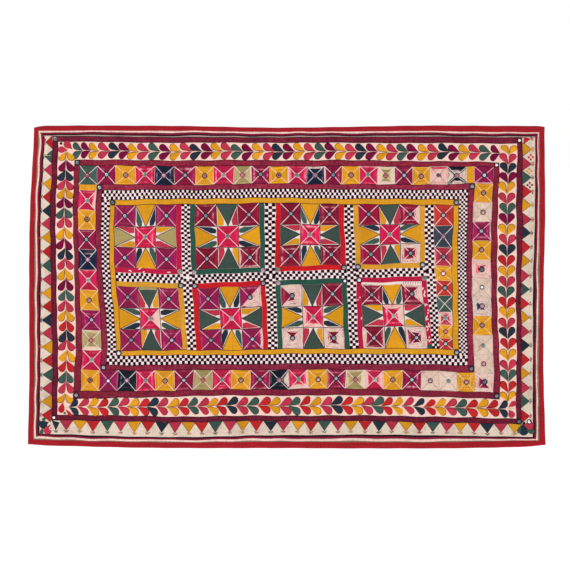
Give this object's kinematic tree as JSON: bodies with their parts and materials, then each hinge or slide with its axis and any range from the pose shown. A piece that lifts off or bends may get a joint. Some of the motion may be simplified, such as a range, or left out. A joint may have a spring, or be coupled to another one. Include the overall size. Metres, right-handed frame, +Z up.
{
  "type": "patchwork wall hanging",
  "caption": "Flat patchwork wall hanging of star blocks, checked sashing and leaf, square and triangle borders sewn on a ground cloth with a bound edge; hangs from its top edge.",
  "frame": {"origin": "middle of the top edge, where the hanging is held", "axes": "+X along the top edge to the viewer's right, +Y from the face to the back, +Z up"},
  "size_m": [1.8938, 0.0215, 1.1826],
  "materials": {
    "ground_cotton": "plain-woven undyed cotton",
    "binding_cotton": "plain-woven red cotton, folded over the edge",
    "piping_cotton": "narrow striped cotton strips",
    "border_cotton": "pale cotton with sewn-on dyed cotton patches",
    "maroon_cotton": "plain-woven maroon cotton",
    "check_cotton": "black and white cotton checks",
    "mustard_cotton": "mustard cotton",
    "patch_silk": "worn satin-faced silk patches",
    "frame_pink": "pink cotton",
    "frame_green": "green cotton",
    "frame_red": "red cotton",
    "frame_mustard": "mustard cotton",
    "mirror_glass": "small round silvered glass with stitched rings"
  },
  "bodies": {
    "root": {"binding_bottom": "binding_cotton", "binding_left": "binding_cotton", "binding_right": "binding_cotton", "binding_top": "binding_cotton", "block_frame_lower_1": "frame_mustard", "block_frame_lower_2": "frame_red", "block_frame_lower_3": "frame_green", "block_frame_lower_4": "frame_pink", "block_frame_upper_1": "frame_pink", "block_frame_upper_2": "frame_green", "block_frame_upper_3": "frame_red", "block_frame_upper_4": "frame_mustard", "check_border_bottom": "check_cotton", "check_border_left": "check_cotton", "check_border_right": "check_cotton", "check_border_top": "check_cotton", "check_sashing": "check_cotton", "ground_cloth": "ground_cotton", "inner_band_bottom": "maroon_cotton", "inner_band_left": "maroon_cotton", "inner_band_right": "maroon_cotton", "inner_band_top": "maroon_cotton", "leaf_border_bottom": "border_cotton", "leaf_border_left": "border_cotton", "leaf_border_right": "border_cotton", "leaf_border_top": "border_cotton", "middle_band_bottom": "maroon_cotton", "middle_band_left": "maroon_cotton", "middle_band_right": "maroon_cotton", "middle_band_top": "maroon_cotton", "mustard_frame_bottom": "mustard_cotton", "mustard_frame_left": "mustard_cotton", "mustard_frame_right": "mustard_cotton", "mustard_frame_top": "mustard_cotton", "outer_band_bottom": "maroon_cotton", "outer_band_left": "maroon_cotton", "outer_band_right": "maroon_cotton", "outer_band_top": "maroon_cotton", "piping_bottom": "piping_cotton", "piping_left": "piping_cotton", "piping_right": "piping_cotton", "piping_top": "piping_cotton", "square_border_bottom": "patch_silk", "square_border_left": "patch_silk", "square_border_right": "patch_silk", "square_border_top": "patch_silk", "square_column": "patch_silk", "star_block_lower_1": "patch_silk", "star_block_lower_2": "patch_silk", "star_block_lower_3": "patch_silk", "star_block_lower_4": "patch_silk", "star_block_upper_1": "patch_silk", "star_block_upper_2": "patch_silk", "star_block_upper_3": "patch_silk", "star_block_upper_4": "patch_silk", "triangle_border_bottom": "border_cotton", "triangle_border_left": "border_cotton", "triangle_border_right": "border_cotton"}
  },
  "joints": []
}
